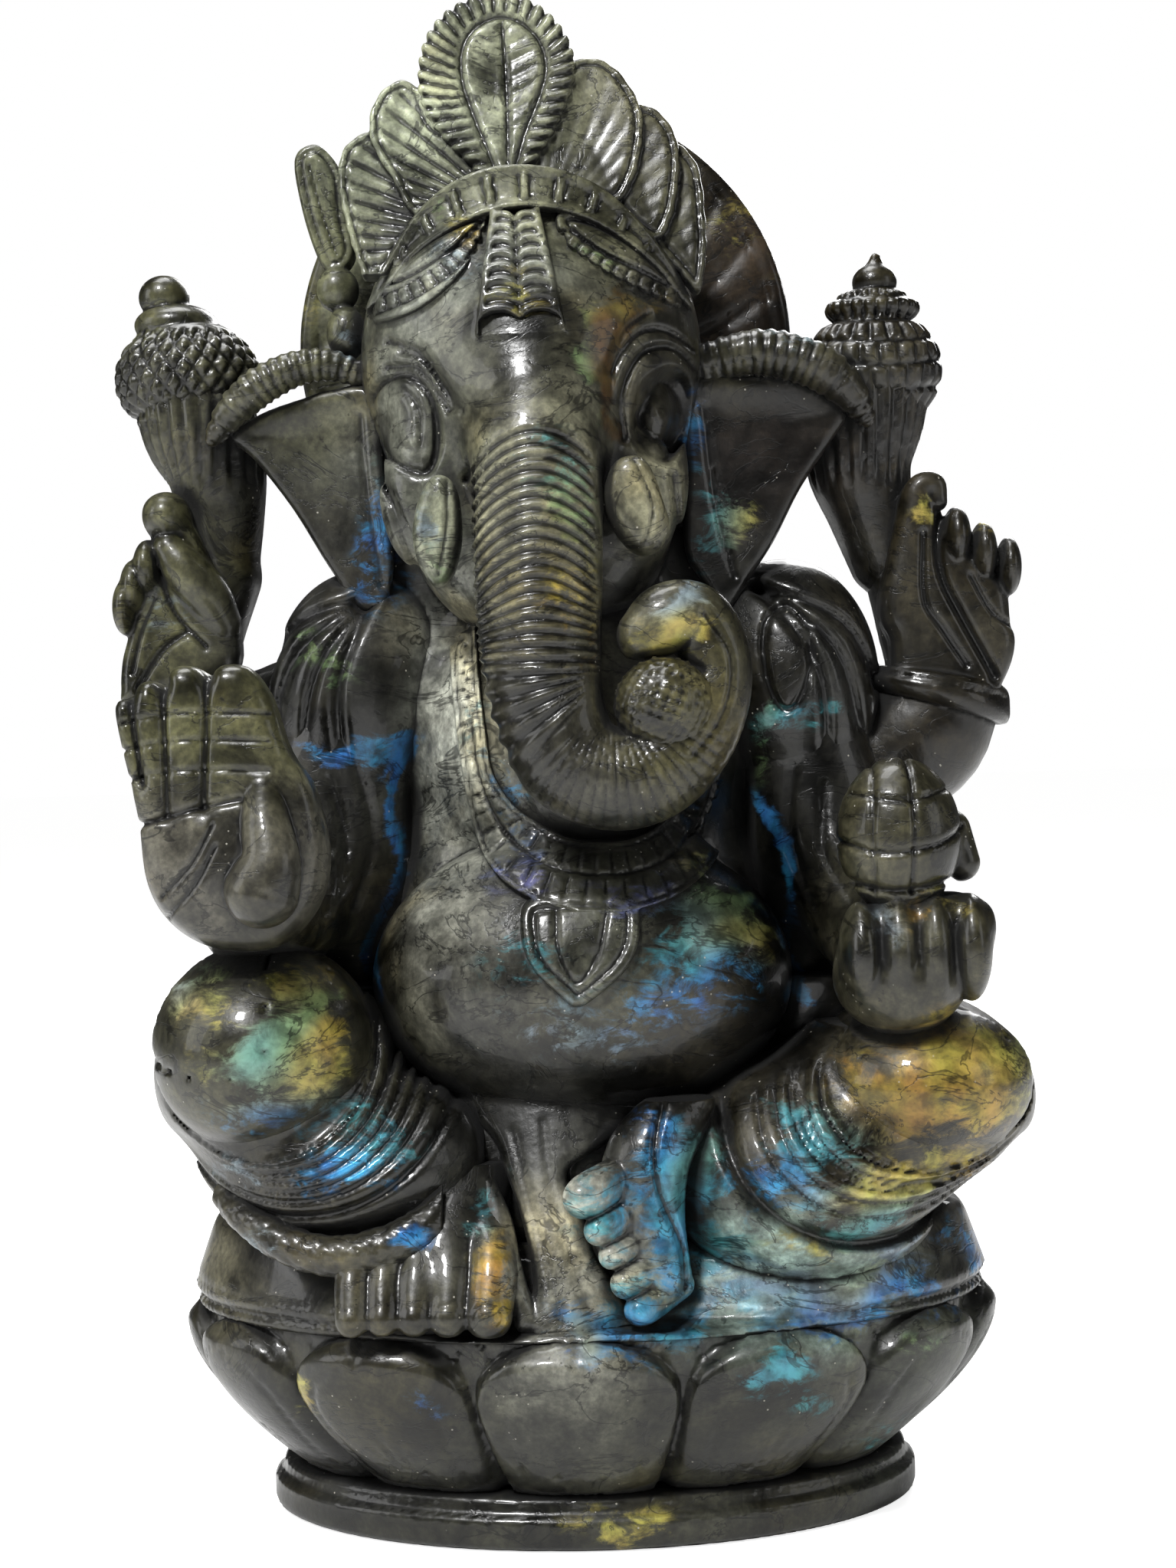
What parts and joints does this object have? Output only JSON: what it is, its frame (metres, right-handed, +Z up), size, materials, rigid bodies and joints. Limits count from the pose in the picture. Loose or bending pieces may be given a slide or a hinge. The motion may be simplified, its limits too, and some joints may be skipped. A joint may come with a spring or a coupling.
{
  "type": "carved stone idol",
  "caption": "Solid carved stone figure of a seated elephant-headed deity on an oval lotus seat and plinth, with a flat underside to stand on.",
  "frame": {"origin": "centre of the plinth's flat underside", "axes": "+Z up, the figure looks along -Y, +X is the viewer's right when facing the figure"},
  "size_m": [0.1821, 0.1107, 0.2989],
  "materials": {
    "stone_dark": "polished dark charcoal labradorite with fine veins",
    "stone_pale": "polished grey-green, slightly translucent labradorite",
    "stone_olive": "polished olive labradorite with dark cleavage lines",
    "stone_flash": "polished labradorite with blue, green and gold flashes"
  },
  "bodies": {
    "root": {"plinth": "stone_dark", "lotus_seat": "stone_dark", "lotus_petals": "stone_dark", "seat_ground": "stone_dark", "lap": "stone_dark", "central_sash": "stone_dark", "torso": "stone_dark", "belly": "stone_dark", "necklace": "stone_dark", "pendant": "stone_dark", "head": "stone_dark", "trunk": "stone_dark", "trunk_sweet": "stone_olive", "tusk_right": "stone_pale", "tusk_left": "stone_pale", "ear_flap_right": "stone_dark", "ear_flap_left": "stone_dark", "ear_rim_right": "stone_olive", "ear_rim_left": "stone_olive", "eye_right": "stone_dark", "eye_left": "stone_dark", "tilak": "stone_pale", "brow_drape_right": "stone_dark", "brow_drape_left": "stone_dark", "crown_band": "stone_pale", "crown_cap": "stone_pale", "crown_leaf_centre": "stone_pale", "crown_leaves_right": "stone_pale", "crown_leaves_left": "stone_pale", "halo_disc": "stone_dark", "side_ornament": "stone_pale", "sleeve_right": "stone_dark", "sleeve_left": "stone_dark", "front_arm_right": "stone_dark", "front_arm_left": "stone_dark", "front_hand_right": "stone_olive", "front_hand_left": "stone_olive", "hand_sweet": "stone_olive", "rear_arm_right": "stone_dark", "rear_arm_left": "stone_dark", "rear_hand_right": "stone_olive", "rear_hand_left": "stone_olive", "bracelet_left": "stone_olive", "bud_right": "stone_dark", "bud_left": "stone_dark", "bud_finial_right": "stone_pale", "bud_finial_left": "stone_pale", "bud_stem_right": "stone_dark", "bud_stem_left": "stone_dark", "knee_right": "stone_flash", "knee_left": "stone_flash", "leg_right": "stone_dark", "leg_left": "stone_flash", "hem_band": "stone_dark", "foot_right": "stone_dark", "foot_left": "stone_flash"}
  },
  "joints": []
}
